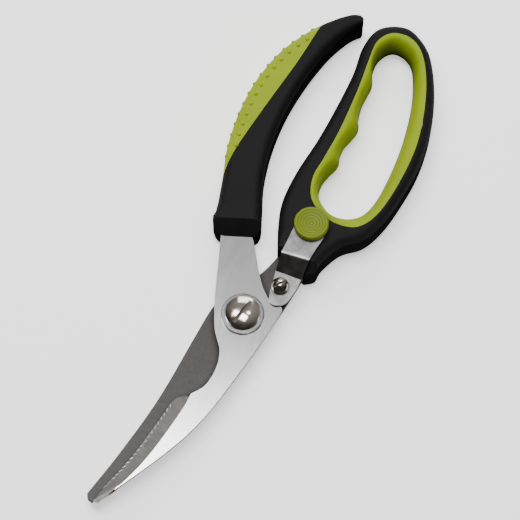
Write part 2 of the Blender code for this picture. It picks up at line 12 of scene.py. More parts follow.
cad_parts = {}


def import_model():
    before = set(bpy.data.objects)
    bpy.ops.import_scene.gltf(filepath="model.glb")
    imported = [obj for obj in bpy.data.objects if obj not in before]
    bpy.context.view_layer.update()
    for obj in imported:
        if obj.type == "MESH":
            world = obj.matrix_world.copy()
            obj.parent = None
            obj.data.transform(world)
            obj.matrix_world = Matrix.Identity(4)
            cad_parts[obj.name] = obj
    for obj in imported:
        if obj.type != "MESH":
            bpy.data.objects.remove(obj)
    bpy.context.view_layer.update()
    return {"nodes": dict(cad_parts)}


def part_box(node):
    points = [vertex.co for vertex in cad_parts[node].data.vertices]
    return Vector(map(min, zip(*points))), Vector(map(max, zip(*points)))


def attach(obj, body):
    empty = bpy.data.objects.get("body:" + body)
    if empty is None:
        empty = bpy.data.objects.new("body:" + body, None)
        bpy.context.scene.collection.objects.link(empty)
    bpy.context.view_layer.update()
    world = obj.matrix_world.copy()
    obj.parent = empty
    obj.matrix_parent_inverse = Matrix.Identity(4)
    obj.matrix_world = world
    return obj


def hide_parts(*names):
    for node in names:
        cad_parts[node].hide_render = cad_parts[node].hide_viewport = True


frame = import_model()

MM = 0.001


def heights(node):
    """Lowest and highest z of a CAD node, in millimetres."""
    low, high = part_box(node)
    return low.z / MM, high.z / MM


def middle(node):
    """Centre of a CAD node seen from the front, in millimetres."""
    low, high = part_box(node)
    return Vector(((low.x + high.x) / 2 / MM, (low.y + high.y) / 2 / MM))


def radius(node):
    """Radius of a round CAD node, in millimetres."""
    low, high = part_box(node)
    return (high.x - low.x) / 2 / MM


HANDLE_BACK, HANDLE_FRONT = heights("loop_handle_body")
REAR_BLADE_Z = heights("rear_blade")
FRONT_BLADE_Z = heights("front_blade")
STRIP_Z = heights("lock_lever")
LOCK_AXIS = middle("lock_screw")
BUTTON_CENTRE = middle("lock_button")
PIVOT_AXIS = Vector((0.0, 0.0))
GAP = 0.3
PAST = 1.0  # How far a cutter reaches past what it cuts.

# Round holes: middle, radius and number of sides.
PIVOT_HOLE_RADIUS = 4.3
LOCK_HOLE_RADIUS = 1.8
PIVOT_HOLE = (PIVOT_AXIS, PIVOT_HOLE_RADIUS, 48)
LOCK_HOLE = (LOCK_AXIS, LOCK_HOLE_RADIUS, 32)
RIVET_HOLE = (BUTTON_CENTRE, LOCK_HOLE_RADIUS, 32)

# Edge rounding of the handles: along their sides, and the least at each tight corner.
ROUNDING = 4.0
CORNER_ROUNDING = 0.6
COLLAR_ROUNDING = 2.0
HEEL_ROUNDING = 2.0
TIP_ROUNDING = 2.4
TIP_CORNER_ROUNDING = 2.1
ROUNDING_GROWTH = 0.4
TIP_ROUNDING_GROWTH = 0.1

# Soft pad of the open handle, and its grip bumps.
PAD_THICKNESS = 2.2
PAD_LINE_X = -40.5
CORE_SHARE = 0.65
CORE_ROUNDING = 0.2
BUMP_RADIUS = 0.86
BUMP_RISE = 0.62
BUMP_PITCH = 5.33
BUMP_START = 13.1
BUMP_ROWS = ((3.9, 90), (0.4, 25), (0.4, -25))
BUMP_CLEARANCE = 0.7
BUMP_LOWEST_Y = 50.0

# Blades.
TOOTH_PITCH = 2.25
TOOTH_DEPTH = 0.2
TOOTH_REACH = 1.25
TOOTH_RISE = 0.22
EDGE_THICKNESS = 0.15
SIDE_LEAN = 0.3

# Lock strip, and the hollow in the loop handle that it swings in.
STRIP_THICKNESS = 1.2
FOLD_SOFTNESS = 0.12
RELIEF_NEAR = 10.4
RELIEF_FAR = 16.4
RELIEF_BEYOND = 9.0

# A handle's front face falls away from a crease: (point on it, direction out, fall per mm).
STRAIGHT_SLOPE = ((-23.0, 34.1), (0.477, -0.879), 0.97)
HEEL_SLOPE = ((13.6, 33.4), (0.811, -0.584), 0.7)
HEEL_CORNER = (16.7, 30.8)

# Rings pressed into the thumb button, measured from its middle.
RING_PITCH = 1.25
RING_DEPTH = 0.08
RING_LIMIT = 5.6


# ---- curves

def smooth(points, steps, closed=False):
    """Points along a Catmull-Rom curve through the given points."""
    guides = [Vector(p) for p in points]
    count = len(guides)
    spans = count if closed else count - 1
    result = []
    for i in range(spans):
        if closed:
            a, b, c, d = (guides[(i + k) % count] for k in (-1, 0, 1, 2))
        else:
            b, c = guides[i], guides[i + 1]
            a = guides[i - 1] if i > 0 else b * 2 - c
            d = guides[i + 2] if i + 2 < count else c * 2 - b
        for s in range(steps):
            t = s / steps
            result.append(0.5 * (2 * b + (c - a) * t + (2 * a - 5 * b + 4 * c - d) * t * t
                                 + (3 * b - a - 3 * c + d) * t ** 3))
    if not closed:
        result.append(guides[-1])
    return result


def resample(line, count):
    """The same open line with evenly spaced points."""
    lengths = [0.0]
    for a, b in zip(line, line[1:]):
        lengths.append(lengths[-1] + (b - a).length)
    result = []
    k = 0
    for i in range(count):
        goal = lengths[-1] * i / (count - 1)
        while k < len(line) - 2 and lengths[k + 1] < goal:
            k += 1
        share = (goal - lengths[k]) / (lengths[k + 1] - lengths[k])
        result.append(line[k].lerp(line[k + 1], min(1.0, share)))
    return result


def length_of(line):
    """Length of an open line."""
    return sum((b - a).length for a, b in zip(line, line[1:]))


def chain(*runs):
    """Joins open runs end to end into one closed outline, without repeated points."""
    same = 0.05
    outline = []
    for run in runs:
        for point in run:
            point = Vector(point)
            if not outline or (point - outline[-1]).length > same:
                outline.append(point)
    if (outline[0] - outline[-1]).length < same:
        outline.pop()
    return outline


def inset(outline, amounts):
    """The counter-clockwise outline moved inwards by one amount for each point."""
    count = len(outline)
    least_stretch = 0.5
    moved = []
    for i, point in enumerate(outline):
        before = (point - outline[i - 1]).normalized()
        after = (outline[(i + 1) % count] - point).normalized()
        normal = Vector((-before.y - after.y, before.x + after.x)).normalized()
        stretch = max(least_stretch, normal.dot(Vector((-before.y, before.x))))
        moved.append(point + normal * (amounts[i] / stretch))
    return moved


def corner_rounding(outline, corners):
    """Edge rounding for each point: full along the sides, and less near each (corner, least)."""
    amounts = []
    for point in outline:
        nearby = [least + ROUNDING_GROWTH * (point - Vector(corner)).length
                  for corner, least in corners]
        amounts.append(min([ROUNDING] + nearby))
    return amounts


def unfolded(outline, amounts):
    """The same amounts, lowered where an outline inset by them would fold over itself."""
    count = len(outline)
    tries, least_kept, lowering = 60, 0.1, 0.93
    amounts = list(amounts)
    for _ in range(tries):
        moved = inset(outline, amounts)
        folds = []
        for i in range(count):
            k = (i + 1) % count
            step = outline[k] - outline[i]
            if step.dot(moved[k] - moved[i]) < least_kept * step.length_squared:
                folds += [i, k]
        if not folds:
            break
        for i in folds:
            amounts[i] *= lowering
        for order in (range(count), reversed(range(count))):
            for i in order:
                for k in (i - 1, (i + 1) % count):
                    reach = (outline[i] - outline[k]).length
                    amounts[i] = min(amounts[i], amounts[k] + ROUNDING_GROWTH * reach)
    return amounts


def circle(centre, size, count):
    """Counter-clockwise points of a circle of that radius."""
    turns = [2 * math.pi * i / count for i in range(count)]
    return [Vector((centre[0] + size * math.cos(a), centre[1] + size * math.sin(a)))
            for a in turns]


# ---- meshes

def rings_solid(rings):
    """A closed solid from rings of equal length, capped by one flat face at each end."""
    solid = bmesh.new()
    loops = [[solid.verts.new(p) for p in ring] for ring in rings]
    for lower, upper in zip(loops, loops[1:]):
        for i in range(len(lower)):
            k = (i + 1) % len(lower)
            solid.faces.new((lower[i], lower[k], upper[k], upper[i]))
    solid.faces.new(loops[0][::-1])
    solid.faces.new(loops[-1])
    return solid


def prism(outline, bottom, top):
    """An outline drawn up from one height to another."""
    return rings_solid([[Vector((p[0], p[1], z)) for p in outline] for z in (bottom, top)])


def lathe(centre, profile, count):
    """A turned solid: (radius, height) from the lowest ring to the highest."""
    return rings_solid([[p.to_3d() + Vector((0, 0, z)) for p in circle(centre, r, count)]
                        for r, z in profile])


def band(loops):
    """A closed tube of faces from ring to ring, and from the last ring to the first."""
    solid = bmesh.new()
    made = [[solid.verts.new(p) for p in loop] for loop in loops]
    for near, far in zip(made, made[1:] + made[:1]):
        for i in range(len(near)):
            j = (i + 1) % len(near)
            solid.faces.new((near[i], near[j], far[j], far[i]))
    return solid


def dome(size, rim, top, steps):
    """(radius, height) pairs of a spherical cap from its rim to near its crown."""
    rise = top - rim
    sphere = (size * size + rise * rise) / (2 * rise)
    centre = top - sphere
    pairs = []
    for k in range(steps):
        r = size * (1 - k / steps)
        pairs.append((r, centre + math.sqrt(sphere * sphere - r * r)))
    return pairs


def rounded_plate(outline, bottom, top, rounding, steps=8):
    """A plate with quarter-round edges, whose radius may differ from point to point."""
    rings = []
    for k in range(steps + 1):
        turn = math.pi / 2 * k / steps
        plan = inset(outline, [r * (1 - math.sin(turn)) for r in rounding])
        rings.append([Vector((p.x, p.y, bottom + r * (1 - math.cos(turn))))
                      for p, r in zip(plan, rounding)])
    for k in range(steps + 1):
        turn = math.pi / 2 * k / steps
        plan = inset(outline, [r * (1 - math.cos(turn)) for r in rounding])
        rings.append([Vector((p.x, p.y, top - r * (1 - math.sin(turn))))
                      for p, r in zip(plan, rounding)])
    return rings_solid(rings)


def place(name, solid, body=None, look=None, crease=35.0):
    """A bmesh in millimetres becomes a shaded object that rides on a body."""
    bmesh.ops.recalc_face_normals(solid, faces=solid.faces)
    for vert in solid.verts:
        vert.co = vert.co * MM
    mesh = bpy.data.meshes.new(name)
    solid.to_mesh(mesh)
    solid.free()
    made = bpy.data.objects.new(name, mesh)
    bpy.context.scene.collection.objects.link(made)
    shade(made, crease)
    if look:
        mesh.materials.append(look)
    if body:
        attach(made, body)
    return made


def shade(made, crease):
    """Smooth shading, with edges sharper than the crease angle left sharp."""
    made.data.shade_smooth()
    made.data.set_sharp_from_angle(angle=math.radians(crease))


def carve(target, solid, operation="DIFFERENCE", crease=35.0, look=None):
    """Cuts the target with a bmesh in millimetres; look is for the cut's own faces."""
    cutter = place("cutter", solid, look=look)
    cut_with(target, cutter, operation, crease, "TRANSFER" if look else "INDEX")


def cut_with(target, cutter, operation="DIFFERENCE", crease=35.0, materials="INDEX"):
    """Cuts the target with another object, which is used up."""
    modifier = target.modifiers.new("cut", "BOOLEAN")
    modifier.operation = operation
    modifier.solver = "EXACT"
    modifier.object = cutter
    modifier.material_mode = materials
    apply_modifiers(target)
    bpy.data.objects.remove(cutter)
    shade(target, crease)


def apply_modifiers(target):
    """The mesh becomes what its modifiers make of it."""
    bpy.context.view_layer.update()
    graph = bpy.context.evaluated_depsgraph_get()
    result = bpy.data.meshes.new_from_object(target.evaluated_get(graph))
    target.modifiers.clear()
    target.data = result


def soften(target, width, segments=2, limit=35.0):
    """Breaks the sharp edges, as on a part that was tumbled or moulded."""
    bevel = target.modifiers.new("edge_break", "BEVEL")
    bevel.width = width * MM
    bevel.segments = segments
    bevel.limit_method = "ANGLE"
    bevel.angle_limit = math.radians(limit)
    bevel.harden_normals = True
    weighted = target.modifiers.new("face_normals", "WEIGHTED_NORMAL")
    weighted.keep_sharp = True
    weighted.weight = 80


# ---- materials

def colour_ramp(tree, value, stops):
    """A colour from two stops, each a place on the value and a colour."""
    ramp = tree.nodes.new("ShaderNodeValToRGB")
    for element, (position, colour) in zip(ramp.color_ramp.elements, stops):
        element.position = position
        element.color = (*colour, 1)
    tree.links.new(value, ramp.inputs["Fac"])
    return ramp.outputs["Color"]


class Nodes:
    """A Principled material with short helpers for its nodes."""

    def __init__(self, name, colour, roughness, metallic=0.0):
        self.material = bpy.data.materials.new(name)
        self.material.use_nodes = True
        self.tree = self.material.node_tree
        self.link = self.tree.links.new
        self.inputs = self.tree.nodes["Principled BSDF"].inputs
        self.give(self.inputs, {"Base Color": (*colour, 1.0), "Roughness": roughness,
                                "Metallic": metallic})
        self.place = self.node("TexCoord").outputs["Object"]

    def give(self, inputs, values):
        """Sets sockets to constant values."""
        for socket, value in values.items():
            inputs[socket].default_value = value

    def node(self, kind, **settings):
        """A new shader node with its settings."""
        made = self.tree.nodes.new("ShaderNode" + kind)
        for name, value in settings.items():
            setattr(made, name, value)
        return made

    def noise(self, stretch, turn=0.0, detail=4.0):
        """Noise in object space, stretched per axis in features per metre and turned about Z."""
        mapping = self.node("Mapping", vector_type="TEXTURE")
        self.give(mapping.inputs, {"Rotation": (0, 0, math.radians(turn)),
                                   "Scale": [1 / s for s in stretch]})
        self.link(self.place, mapping.inputs["Vector"])
        noise = self.node("TexNoise")
        self.give(noise.inputs, {"Scale": 1.0, "Detail": detail, "Roughness": 0.6})
        self.link(mapping.outputs["Vector"], noise.inputs["Vector"])
        return noise.outputs["Fac"]

    def ramp(self, value, low, high, out_low, out_high):
        """A value spread from one range over another."""
        spread = self.node("MapRange", clamp=True)
        self.give(spread.inputs, {"From Min": low, "From Max": high, "To Min": out_low,
                                  "To Max": out_high})
        self.link(value, spread.inputs["Value"])
        return spread.outputs["Result"]

    def colours(self, value, dark, light, low=0.3, high=0.7):
        """Base colour from dark to light as the value goes from low to high."""
        colour = colour_ramp(self.tree, value, ((low, dark), (high, light)))
        self.link(colour, self.inputs["Base Color"])

    def gloss_upwards(self, high):
        """Painted shade: faces that look up shine, and the side walls shine less by which way they
        face.
        """
        wall, top = 0.15, 0.75
        split = self.node("SeparateXYZ")
        self.link(self.node("NewGeometry").outputs["Normal"], split.inputs["Vector"])
        level = self.inputs["Specular IOR Level"]
        level.default_value = 0.4 * high
        self.link(self.ramp(split.outputs["Z"], wall, top, 0.0, high), level)

    def painted_contact_shade(self, reach, dark):
        """Painted shade: darkens the colour where another surface comes closer than the reach in
        metres.
        """
        enclosed = 0.35
        closeness = self.node("AmbientOcclusion")
        closeness.inputs["Distance"].default_value = reach
        mix = self.node("Mix", data_type="RGBA", blend_type="MULTIPLY")
        mix.inputs["Factor"].default_value = 1.0
        base = self.inputs["Base Color"]
        self.link(base.links[0].from_socket, mix.inputs["A"])
        self.link(self.ramp(closeness.outputs["AO"], enclosed, 1.0, dark, 1.0), mix.inputs["B"])
        self.link(mix.outputs["Result"], base)

    def rings(self, centre, dark, light):
        """Painted highlight and shade of the pressed rings: faint lighter and darker rings round a
        vertical axis, as far apart as the pressed ones.
        """
        shift = self.node("VectorMath", operation="SUBTRACT")
        shift.inputs[1].default_value = (centre.x * MM, centre.y * MM, 0)
        flatten = self.node("VectorMath", operation="MULTIPLY")
        flatten.inputs[1].default_value = (1, 1, 0)
        reach = self.node("VectorMath", operation="LENGTH")
        phase = self.node("Math", operation="MULTIPLY")
        phase.inputs[1].default_value = 2 * math.pi / (RING_PITCH * MM)
        wave = self.node("Math", operation="SINE")
        self.link(self.place, shift.inputs[0])
        self.link(shift.outputs["Vector"], flatten.inputs[0])
        self.link(flatten.outputs["Vector"], reach.inputs[0])
        self.link(reach.outputs["Value"], phase.inputs[0])
        self.link(phase.outputs["Value"], wave.inputs[0])
        self.colours(wave.outputs["Value"], dark, light, 0.2, 0.95)

    def rough(self, value, out_low, out_high, low=0.3, high=0.7):
        """Roughness from out_low to out_high as the value goes from low to high."""
        self.link(self.ramp(value, low, high, out_low, out_high), self.inputs["Roughness"])

    def bump(self, value, depth):
        """A bump of that depth in millimetres."""
        bump = self.node("Bump")
        self.give(bump.inputs, {"Strength": 1.0, "Distance": depth * MM})
        self.link(value, bump.inputs["Height"])
        self.link(bump.outputs["Normal"], self.inputs["Normal"])


def front_steel():
    """Bright satin steel with fine brush lines that run with the blade."""
    look = Nodes("front_blade_steel", (0.6, 0.595, 0.59), 0.2, 1.0)
    lines = look.noise((1500, 60, 400), turn=12, detail=5.0)
    cloud = look.noise((60, 35, 60), turn=12, detail=3.0)
    look.colours(cloud, (0.35, 0.348, 0.35), (0.41, 0.408, 0.41))
    look.rough(lines, 0.17, 0.205)
    look.bump(lines, 0.0012)
    return look.material


def grind_steel():
    """Ground bevel: short dense lines across the edge."""
    look = Nodes("ground_bevel_steel", (0.42, 0.415, 0.40), 0.4, 1.0)
    lines = look.noise((70, 1900, 400), turn=-6, detail=5.0)
    look.colours(lines, (0.31, 0.301, 0.284), (0.38, 0.369, 0.35), 0.34, 0.66)
    look.rough(lines, 0.38, 0.46)
    look.bump(lines, 0.003)
    return look.material


def rear_steel():
    """Darker, finely ground inner face of the rear blade, with painted shadow where other parts
    lie close over it.
    """
    look = Nodes("rear_blade_steel", (0.06, 0.059, 0.058), 0.45, 1.0)
    lines = look.noise((60, 1500, 400), turn=20, detail=5.0)
    streaks = look.noise((500, 1300, 420), turn=-30, detail=6.0)
    look.colours(streaks, (0.029, 0.028, 0.027), (0.035, 0.034, 0.033))
    # Painted shadow: darker where the front blade and other parts come close.
    look.painted_contact_shade(0.003, 0.25)
    look.rough(lines, 0.42, 0.5)
    look.bump(lines, 0.0025)
    return look.material


def side_steel():
    """Sawn sides of the blades, painted dark and without reflection as shade, with fine lines
    along the thickness.
    """
    look = Nodes("blade_side_steel", (0.10, 0.09, 0.085), 0.42)
    # No reflection at all, so the sides stay dark: painted shade.
    look.inputs["Specular IOR Level"].default_value = 0.0
    lines = look.noise((700, 700, 120))
    look.colours(lines, (0.052, 0.043, 0.040), (0.085, 0.073, 0.068))
    look.rough(lines, 0.36, 0.5)
    return look.material


def tooth_steel():
    """Freshly ground facets of the small teeth."""
    look = Nodes("tooth_facet_steel", (0.70, 0.69, 0.66), 0.3, 1.0)
    lines = look.noise((1500, 1500, 400), detail=2.0)
    look.colours(lines, (0.34, 0.335, 0.32), (0.46, 0.455, 0.43))
    look.rough(lines, 0.26, 0.4)
    return look.material


def strip_steel():
    """Satin strip of the lock with fine scratches along its length."""
    look = Nodes("lock_strip_steel", (0.4, 0.395, 0.39), 0.3, 1.0)
    scratches = look.noise((900, 240, 300), turn=-8, detail=6.0)
    cloud = look.noise((260, 260, 260), detail=4.0)
    look.colours(cloud, (0.12, 0.118, 0.118), (0.20, 0.198, 0.198), 0.35, 0.65)
    look.rough(scratches, 0.28, 0.38)
    look.bump(scratches, 0.004)
    return look.material


def polished_steel():
    """Polished screws with faint handling marks."""
    look = Nodes("polished_screw_steel", (0.72, 0.70, 0.67), 0.12, 1.0)
    marks = look.noise((500, 500, 500), detail=6.0)
    cloud = look.noise((120, 120, 120), detail=2.0)
    look.colours(cloud, (0.33, 0.30, 0.26), (0.42, 0.385, 0.34))
    look.rough(marks, 0.08, 0.22, 0.35, 0.75)
    return look.material


def slot_steel():
    """Dull inside of a screwdriver slot, painted dark as the shade in the slot."""
    look = Nodes("screw_slot_steel", (0.05, 0.045, 0.04), 0.5, 1.0)
    marks = look.noise((900, 900, 900))
    look.colours(marks, (0.03, 0.027, 0.025), (0.07, 0.064, 0.058))
    look.rough(marks, 0.4, 0.6)
    return look.material


def black_plastic():
    """Matte moulded handle plastic: fine spark-erosion grain and soft blotches of gloss."""
    look = Nodes("black_handle_plastic", (0.006, 0.006, 0.006), 0.55)
    look.inputs["IOR"].default_value = 1.25
    # Painted shade: the side walls lose their gloss by which way they face.
    look.gloss_upwards(0.3)
    grain = look.noise((2600, 2600, 2600), detail=3.0)
    cloud = look.noise((60, 60, 60), detail=3.0)
    look.colours(cloud, (0.0050, 0.0050, 0.0051), (0.0078, 0.0078, 0.0079))
    look.rough(cloud, 0.56, 0.68)
    look.bump(grain, 0.035)
    return look.material


RUBBER_GLOSS = 0.35
GRIP_GREEN = (0.235, 0.315, 0.002)
BUTTON_COLOUR = (0.13, 0.178, 0.003)


def green_rubber(name, colour, rough_low, rough_high, rings_at=None, shaded=None):
    """Soft grip rubber: slight tone changes, fine grain and a soft sheen.

    rings_at is the middle of pressed rings, whose highlight and shade are painted as lighter and
    darker rings, and shaded what painted contact shade is given; a shaded rubber also has side
    walls that lose their gloss as painted shade.
    """
    look = Nodes(name, colour, 0.55)
    grain = look.noise((1900, 1900, 1900), detail=3.0)
    cloud = look.noise((70, 70, 70), detail=3.0)
    light = [min(1.0, c * 1.07) for c in colour]
    look.colours(cloud, [c * 0.9 for c in colour], light)
    look.rough(cloud, rough_low, rough_high)
    look.bump(grain, 0.03)
    look.inputs["IOR"].default_value = 1.3
    look.inputs["Specular IOR Level"].default_value = RUBBER_GLOSS
    # Painted highlight and shade of the pressed rings.
    if rings_at:
        red, green, blue = light
        look.rings(rings_at, [c * 0.833 for c in colour], (red * 1.25, green * 1.15, blue))
    # Painted shade: side walls lose their gloss, and the colour darkens where surfaces close in.
    if shaded:
        look.gloss_upwards(RUBBER_GLOSS)
        look.painted_contact_shade(*shaded)
    return look.material


FRONT_STEEL = front_steel()
GRIND_STEEL = grind_steel()
REAR_STEEL = rear_steel()
SIDE_STEEL = side_steel()
TOOTH_STEEL = tooth_steel()
STRIP_STEEL = strip_steel()
POLISHED = polished_steel()
SLOT_STEEL = slot_steel()
PLASTIC = black_plastic()
PAD_GREEN = green_rubber("green_grip_rubber", GRIP_GREEN, 0.5, 0.64)
# The liner is the grip rubber with painted shade inside the finger hole.
LINER_GREEN = green_rubber("green_liner_rubber", GRIP_GREEN, 0.5, 0.64, shaded=(0.02, 0.05))
# The button's colour rings are painted highlight and shade.
BUTTON_GREEN = green_rubber("green_button_rubber", BUTTON_COLOUR, 0.4, 0.55, BUTTON_CENTRE)


# ---- blades

# Material slots of a blade. Its flat face has the first one, 0.
GROUND, SIDE, TOOTH = 1, 2, 3
TIP_POINTS = 9
NOTCH_POINTS = 15
FIRST_TOOTH = 6
GROUND_STEPS = 3
FRONT_CREASE = 12.0
REAR_CREASE = 18.0


def blade_mesh(plain, ground, line, face_z, flat_z, ground_z, teeth=(), lean=0.0):
    """A blade plate whose ground run falls from a line on its face to a thin edge.

    plain is the outline without the ground run. ground and line have matching points, and
    ground_z the height of each ground point. teeth lists the ground points that are the middle
    of a tooth, whose two facets meet in a low ridge. lean is how far the plain sides slope in.
    """
    solid = bmesh.new()
    outline = plain + ground
    first = len(plain)
    foot = inset(outline, [lean] * first + [0.0] * len(ground))
    flat = [solid.verts.new((p.x, p.y, flat_z)) for p in foot]
    face = [solid.verts.new((p.x, p.y, face_z)) for p in plain + line]
    edge = [solid.verts.new((p.x, p.y, z)) for p, z in zip(ground[1:-1], ground_z[1:-1])]
    rim = face[:first + 1] + edge + [face[-1]]
    for i in range(len(outline)):
        k = (i + 1) % len(outline)
        solid.faces.new((flat[i], flat[k], rim[k], rim[i])).material_index = SIDE
    upper = face[first:]
    lower = rim[first:]
    roots = list(lower)
    for i in teeth:
        climb = (upper[i].co - lower[i].co).normalized() * TOOTH_REACH
        roots[i] = solid.verts.new(lower[i].co + climb)
        lower[i].co.z += TOOTH_RISE
    for i in range(len(upper) - 1):
        corners = list(dict.fromkeys((upper[i], upper[i + 1], roots[i + 1], roots[i])))
        solid.faces.new(corners).material_index = GROUND
        if i in teeth:
            solid.faces.new((roots[i], lower[i + 1], lower[i])).material_index = TOOTH
        if i + 1 in teeth:
            solid.faces.new((roots[i + 1], lower[i + 1], lower[i])).material_index = TOOTH
    solid.faces.new(flat)
    solid.faces.new(face)
    return solid


def toothed_edge(edge):
    """Cutting edge points two to a tooth, from the tip on, and which are a tooth's middle."""
    line = smooth(edge, 12)
    count = round(length_of(line) / TOOTH_PITCH)
    points = resample(line, count * 2 + 1)
    middles = range(1, count * 2, 2)
    for i in middles:
        along = (points[i + 1] - points[i - 1]).normalized()
        points[i] = points[i] + Vector((along.y, -along.x)) * TOOTH_DEPTH
    return points, middles


FRONT_TANG = [(-26.7, 25.7), (-31.0, 37.0), (-34.5, 50.0), (-36.5, 58.0)]
FRONT_TANG_END = [(-35.5, 61.5), (-31.0, 63.0)]
FRONT_TANG_RIGHT = [(-28.5, 60.5), (-24.0, 49.5), (-19.6, 39.5), (-16.4, 33.9)]


def front_blade():
    """Bright blade: tang, notch, ground bevel with its teeth, and the stop ledge on the spine."""
    shoulder = [(-16.4, 33.9), (-15.0, 32.0), (-12.8, 29.9), (-8.4, 24.9), (-4.3, 20.1),
                (0.4, 15.2), (5.0, 11.8)]
    ledge = [(6.5, 11.8), (12.2, 11.3), (13.1, 10.3)]
    spine = [(13.5, 8.4), (13.2, -9.0), (12.4, -24.0), (10.9, -42.0), (8.4, -56.0), (4.6, -68.4),
             (-0.2, -81.2), (-4.4, -91.6)]
    tip = [(-4.4, -91.6), (-7.9, -99.7), (-10.1, -99.3)]
    edge = [(-10.1, -99.3), (-9.2, -91.8), (-7.4, -82.0), (-6.2, -71.5), (-5.6, -60.0),
            (-5.2, -48.1)]
    notch = [(-5.2, -48.1), (-4.5, -45.0), (-2.0, -41.9), (0.2, -40.8)]
    left = [(0.2, -40.8), (3.2, -35.0), (3.3, -27.0), (0.4, -18.8), (-6.3, -11.8),
            (-13.0, -1.3), (-22.1, 16.6), (-26.7, 25.7)]
    tip_line = [(-4.4, -91.6), (-4.4, -90.4)]
    edge_line = [(-4.4, -90.4), (-3.1, -86.9), (-1.2, -78.2), (-0.15, -70.0), (0.4, -62.0),
                 (0.75, -52.5)]
    notch_line = [(0.75, -52.5), (0.75, -46.5), (0.2, -40.8)]

    tip_points = resample([Vector(p) for p in tip], TIP_POINTS)
    edge_points, middles = toothed_edge(edge)
    notch_points = resample(smooth(notch, 8), NOTCH_POINTS)
    ground = tip_points[:-1] + edge_points[:-1] + notch_points
    line = resample([Vector(p) for p in tip_line], TIP_POINTS)[:-1]
    line += resample(smooth(edge_line, 12), len(edge_points))[:-1]
    line += resample(smooth(notch_line, 12), NOTCH_POINTS)
    line[0] = ground[0]
    line[-1] = ground[-1]

    flat_z, face_z = FRONT_BLADE_Z
    edge_z = flat_z + EDGE_THICKNESS
    ground_z = [face_z + (edge_z - face_z) * min(1.0, i / GROUND_STEPS)
                for i in range(len(ground))]
    # blade_mesh wants the runs counter-clockwise, so they and the teeth's places are reversed.
    teeth = [len(ground) - TIP_POINTS - i for i in middles if i > FIRST_TOOTH]
    rest = chain(resample(smooth(left, 12), 60), smooth(FRONT_TANG, 6), FRONT_TANG_END,
                 smooth(FRONT_TANG_RIGHT, 6), smooth(shoulder, 8), ledge,
                 resample(smooth(spine, 14), 60))[1:-1]
    solid = blade_mesh(rest[::-1], ground[::-1], line[::-1], face_z, flat_z, ground_z[::-1],
                       teeth, SIDE_LEAN)
    made = place("front_blade_ground", solid, "front_half", FRONT_STEEL)
    for look in (GRIND_STEEL, SIDE_STEEL, TOOTH_STEEL):
        made.data.materials.append(look)
    carve(made, prism(circle(*PIVOT_HOLE), flat_z - PAST, face_z + PAST), crease=FRONT_CREASE)
    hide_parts("front_blade")


def rear_blade():
    """Dark blade behind, with a plain ground edge."""
    spine = [(-2.5, 24.9), (-4.0, 19.7), (-7.6, 12.3), (-11.6, 4.6), (-13.0, -3.8),
             (-12.4, -18.0), (-11.1, -38.0), (-10.7, -50.0), (-10.9, -62.0), (-12.0, -80.5),
             (-13.7, -98.1)]
    tang = [(-2.5, 24.9), (-1.4, 32.0), (-0.5, 43.5)]
    tang_end = [(12.0, 44.0), (10.5, 46.0), (1.0, 46.0)]
    right = [(3.8, -36.0), (8.0, -22.0), (11.0, -9.0), (12.6, 8.0), (12.7, 25.0), (12.0, 44.0)]
    edge = [(-10.2, -100.0), (-6.3, -93.0), (-2.4, -82.0), (0.7, -68.0), (2.4, -52.0),
            (3.8, -36.0)]
    ground = resample(smooth(edge, 8), 48)
    line = resample(smooth([ground[0], (-9.0, -91.0), (-5.6, -78.0), (-3.3, -62.0),
                            (-1.5, -47.0), ground[-1]], 8), 48)
    plain = chain(smooth(right, 8)[1:], tang_end, reversed(smooth(tang, 6)),
                  smooth(spine, 8), [(-12.5, -99.7)])
    face_z, flat_z = REAR_BLADE_Z
    made = place("rear_blade_ground",
                 blade_mesh(plain, ground, line, face_z, flat_z,
                            [flat_z - EDGE_THICKNESS] * len(ground)),
                 "rear_half", REAR_STEEL)
    for look in (GRIND_STEEL, SIDE_STEEL):
        made.data.materials.append(look)
    for hole in (PIVOT_HOLE, LOCK_HOLE):
        carve(made, prism(circle(*hole), face_z - PAST, flat_z + PAST), crease=REAR_CREASE)
    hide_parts("rear_blade")


# ---- handles

